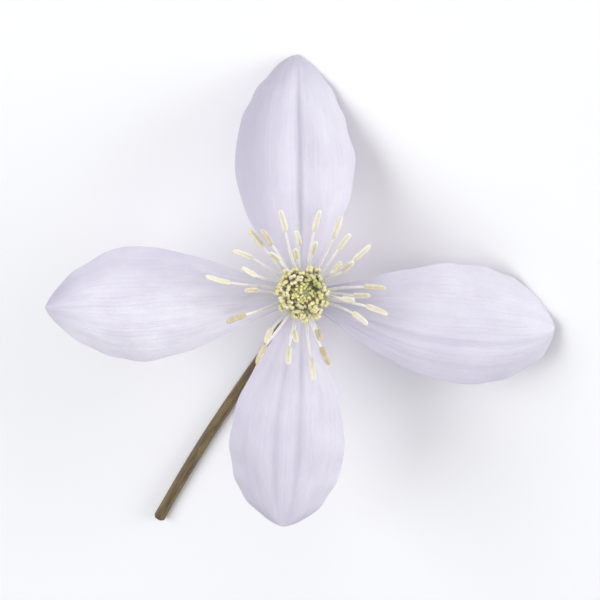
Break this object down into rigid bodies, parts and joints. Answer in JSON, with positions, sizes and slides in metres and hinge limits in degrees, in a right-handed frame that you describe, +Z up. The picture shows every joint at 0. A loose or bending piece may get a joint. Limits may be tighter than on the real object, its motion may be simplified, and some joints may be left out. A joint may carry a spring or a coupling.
{
  "type": "clematis flower",
  "caption": "Picked clematis flower lying on a surface: pale petal-like sepals spread in a cross round a brush of cream stamens and green pistils, with its slender stalk.",
  "frame": {"origin": "on the surface that the flower lies on, under the middle of the box round it", "axes": "+Z up. The flower's face leans from +Z towards +X and +Y, and its stalk runs towards -X and -Y"},
  "size_m": [0.059, 0.0654, 0.0252],
  "materials": {
    "sepal": "matte, faintly translucent, with fine lengthwise veins",
    "stamen": "matte cream anthers on white translucent filaments",
    "pistil": "green with silky pale hairs",
    "stalk": "satin olive brown, finely haired"
  },
  "bodies": {
    "root": {"sepal_top": "sepal", "sepal_left": "sepal", "sepal_bottom": "sepal", "sepal_right": "sepal", "stamens": "stamen", "pistils": "pistil", "stalk": "stalk"}
  },
  "joints": []
}
